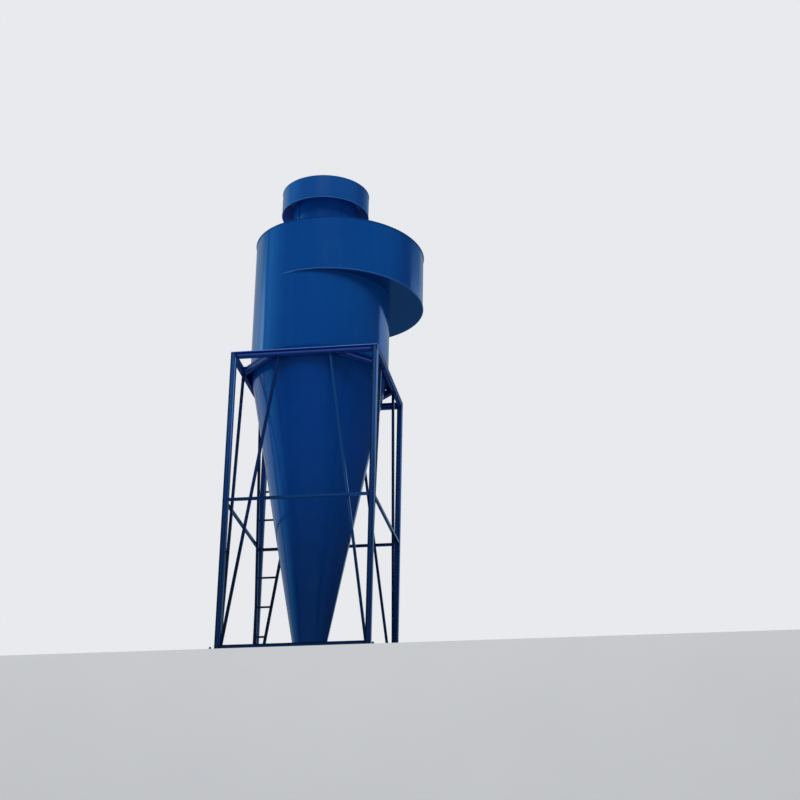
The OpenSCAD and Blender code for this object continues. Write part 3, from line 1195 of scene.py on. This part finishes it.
@dataclass
class Studio:
    """A pale raised floor, an overcast sky with what the gloss mirrors in it, and two soft lamps.

    The rings give what the gloss mirrors by direction: degrees from straight behind the separator, positive
    to the right, with the colour there. The high ring is what the scroll and the cap mirror, the upper one
    what the barrel does and the lower one what the cone does. What looks down mirrors the ground.
    """

    floor_paint: Material
    front_y: float = -0.800
    half_w: float = 30.0
    depth: float = 60.0
    drop: float = 12.0
    sky_tint: str = "#F3F5F9"
    sky_over: float = 0.90
    sky_low: float = 0.16
    sky_under: float = 0.55
    backdrop: float = 0.90
    # Heights are a direction's Z. The upper ring's start climbs from left to right between two X
    upper_from: tuple[float, float] = (0.28, 0.425)
    upper_climb: tuple[float, float] = (-0.05, 0.15)
    upper_blend: tuple[float, float] = (-0.04, 0.02)
    high_blend: tuple[float, float] = (0.4485, 0.4565)
    ground_blend: tuple[float, float] = (0.05, -0.10)

    KEY_LAMP = SoftBox("key_lamp", (0.6, -9.0, 12.0), power_w=760.0)
    SIDE_LAMP = SoftBox("side_lamp", (-14.0, 3.0, 5.0), power_w=800.0)
    DIM = (0.030, 0.030, 0.030)
    BLUE = (0.120, 0.600, 1.100)
    UNDER = (0.045, 0.180, 0.360)
    LEFT = ((-180.0, DIM), (-125.0, DIM), (-92.0, BLUE), (-86.0, BLUE), (-84.0, DIM), (-81.0, DIM))
    HIGH = (
        *LEFT, (-79.5, (0.12, 0.42, 0.52)), (-72.0, (0.10, 0.38, 0.42)), (-66.0, (0.20, 0.44, 0.38)),
        (-59.0, (0.42, 0.64, 0.52)), (-50.0, (0.40, 0.52, 0.52)), (-10.0, (0.28, 0.31, 0.34)),
        (10.0, (0.33, 0.42, 0.50)), (20.0, (0.30, 0.50, 0.72)), (25.0, (0.09, 0.24, 0.50)),
        (40.0, (0.06, 0.19, 0.42)), (48.0, (0.04, 0.11, 0.24)), (58.0, DIM), (70.0, DIM),
        (90.0, (0.04, 0.24, 0.55)), (125.0, (0.03, 0.18, 0.40)), (150.0, DIM), (180.0, DIM),
    )
    UPPER = (
        *LEFT, (-79.5, (0.90, 2.00, 3.20)), (-74.0, (0.90, 2.00, 3.20)), (-70.0, (0.55, 1.05, 1.45)),
        (-64.0, (0.50, 0.76, 0.90)), (-58.0, (0.60, 0.84, 0.86)), (-50.0, (0.42, 0.50, 0.58)),
        (-10.0, (0.28, 0.31, 0.34)), (10.0, (0.36, 0.50, 0.62)), (30.0, (0.55, 0.92, 1.50)),
        (50.0, (0.78, 1.30, 2.50)), (54.0, DIM), (180.0, DIM),
    )
    LOWER = (
        *LEFT, (-79.0, (0.36, 0.66, 1.00)), (-45.0, (0.42, 0.58, 0.74)), (-25.0, (0.34, 0.42, 0.50)),
        (-11.0, (0.25, 0.28, 0.33)), (6.0, (0.28, 0.48, 0.76)), (13.0, (0.28, 0.48, 0.76)),
        (17.0, DIM), (180.0, DIM),
    )

    def build(self) -> None:
        """Makes the floor, the light round the scene and the lamps."""
        floor = self.floor()
        self.surround()
        self.KEY_LAMP.hang()
        side_lamp = self.SIDE_LAMP.hang()
        # The side lamp stands so low that it would burn a white patch into the floor beside it
        spared = bpy.data.collections.new("spared_by_side_lamp")
        spared.objects.link(floor)
        spared.collection_objects[0].light_linking.link_state = "EXCLUDE"
        side_lamp.light_linking.receiver_collection = spared

    def floor(self) -> bpy.types.Object:
        """A block whose top is the ground and whose front edge is just in front of the stand.

        Returns:
            The floor.
        """
        shape = bmesh.new()
        bmesh.ops.create_cube(shape, size=1.0)
        bmesh.ops.scale(shape, vec=(2 * self.half_w, self.depth, self.drop), verts=shape.verts)
        middle = (0.0, self.front_y + self.depth / 2, -self.drop / 2)
        bmesh.ops.translate(shape, vec=middle, verts=shape.verts)
        data = bpy.data.meshes.new("studio_floor")
        shape.to_mesh(data)
        shape.free()
        data.materials.append(self.floor_paint)
        floor = bpy.data.objects.new("studio_floor", data)
        floor.visible_glossy = False
        floor.visible_diffuse = False
        bpy.context.scene.collection.objects.link(floor)
        return floor

    def surround(self) -> None:
        """Light from all round: an overcast sky, a pale backdrop, and the sky that the gloss mirrors."""
        world = bpy.data.worlds.new("studio_light")
        bpy.context.scene.world = world
        graph = Graph(world, "Generated")
        towards = graph.parts(graph.place)
        risen = graph.span(towards["Z"], 0.0, 1.0, self.sky_low, self.sky_over)
        under = graph.calculate("LESS_THAN", towards["Z"], 0.0)
        overcast = graph.switch(under, risen, self.sky_under)
        path = graph.add("ShaderNodeLightPath").outputs
        level = graph.switch(path["Is Camera Ray"], overcast, self.backdrop)
        soft = graph.add("ShaderNodeBackground", {"Color": linear(self.sky_tint), "Strength": level})
        mirrored = graph.add("ShaderNodeBackground", {"Color": self.gloss_sky(graph, towards)})
        both = {0: path["Is Glossy Ray"], 1: soft.outputs[0], 2: mirrored.outputs[0]}
        light = graph.add("ShaderNodeMixShader", both).outputs[0]
        graph.add("ShaderNodeOutputWorld", {"Surface": light})

    def gloss_sky(self, graph: Graph, towards: Outputs) -> Socket:
        """What the gloss mirrors: the three rings, and the ground below them.

        Args:
            graph: the world's nodes.
            towards: the three parts of the direction in which a ray leaves.

        Returns:
            The mirrored sky's colour.
        """
        around = graph.span(graph.calculate("ARCTAN2", towards["X"], towards["Y"]), -math.pi, math.pi)
        rings = (self.LOWER, self.UPPER, self.HIGH)
        lower, upper, high = (self.ring(graph, around, stops) for stops in rings)
        edge = graph.span(towards["X"], *self.upper_climb, *self.upper_from)
        over = graph.calculate("SUBTRACT", towards["Z"], edge)
        in_upper = graph.span(over, *self.upper_blend, smooth=True)
        in_high = graph.span(towards["Z"], *self.high_blend)
        sky = graph.mix(in_upper, lower, graph.mix(in_high, upper, high))
        in_ground = graph.span(towards["Z"], *self.ground_blend)
        return graph.mix(in_ground, sky, (*self.UNDER, 1.0))

    @staticmethod
    def ring(graph: Graph, around: Socket, stops: Stops) -> Socket:
        """Colours round the horizon.

        Args:
            graph: the world's nodes.
            around: the direction, from 0 to 1 for a full turn.
            stops: directions from -180 to 180, with their colours.

        Returns:
            The colour for the direction.
        """
        made = graph.add("ShaderNodeValToRGB", {"Fac": around})
        points = made.color_ramp.elements
        while len(points) < len(stops):
            points.new(1.0)
        for point, (degrees, colour) in zip(points, stops):
            point.position = degrees / FULL_TURN + 0.5
            point.color = (*colour, 1.0)
        return made.outputs["Color"]


@dataclass(frozen=True)
class Viewpoint:
    """The camera: low in front of the stand and a little to its right, looking up at it."""

    place: Point = (3.8381, -16.9509, -4.9230)
    pitch: float = 23.808
    yaw: float = -10.142
    roll: float = 1.087
    focal_px: float = 1947.3
    frame_px: float = 800.0
    sensor_mm: float = 36.0
    sees_to: float = 200.0

    def build(self) -> None:
        """Makes the camera and gives it to the scene."""
        pitch, yaw, roll = (math.radians(a) for a in (self.pitch, self.yaw, self.roll))
        ahead = Vector((math.sin(yaw) * math.cos(pitch), math.cos(yaw) * math.cos(pitch), math.sin(pitch)))
        level = Vector((math.cos(yaw), -math.sin(yaw), 0.0))
        upright = level.cross(ahead)
        right = math.cos(roll) * level + math.sin(roll) * upright
        up = math.cos(roll) * upright - math.sin(roll) * level
        data = bpy.data.cameras.new("camera")
        data.sensor_width = self.sensor_mm
        data.lens = self.focal_px * self.sensor_mm / self.frame_px
        data.clip_end = self.sees_to
        camera = bpy.data.objects.new("camera", data)
        turn = Matrix((right, up, -ahead)).transposed().to_4x4()
        camera.matrix_world = Matrix.Translation(self.place) @ turn
        bpy.context.scene.collection.objects.link(camera)
        bpy.context.scene.camera = camera


def main() -> None:
    """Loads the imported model, dresses it, and sets up the studio and the camera."""
    logging.basicConfig(level=logging.INFO, format="%(name)s: %(message)s")
    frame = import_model()
    nodes = frame["nodes"]
    bpy.context.scene.view_settings.view_transform = "Standard"
    Viewpoint().build()
    sheet, edge, zinc = SHEET.make(), HIGHLIGHT_SHEET.make(), ZincPlate().make()
    Stand(
        enamel=TUBE.make(), leg_enamel=LEG_TUBE.make(), rail_enamel=THIN_TUBE.make(),
        beam_enamel=TOP_TUBE.make(), highlight_enamel=GLINT_TUBE.make(), zinc=zinc,
    ).build(nodes)
    Vessel(enamel=sheet, cone_enamel=CONE_SHEET.make()).build(nodes)
    Scroll(
        enamel=sheet, floor_enamel=FLOOR_SHEET.make(), roof_enamel=ROOF_SHEET.make(), highlight_enamel=edge,
    ).build(nodes)
    CleanAirOutlet(
        enamel=sheet, pipe_enamel=PIPE_SHEET.make(), cap_enamel=CAP_SHEET.make(), highlight_enamel=edge, zinc=zinc,
    ).build(nodes)
    Studio(StudioPaint().make()).build()


if __name__ == "__main__":
    main()
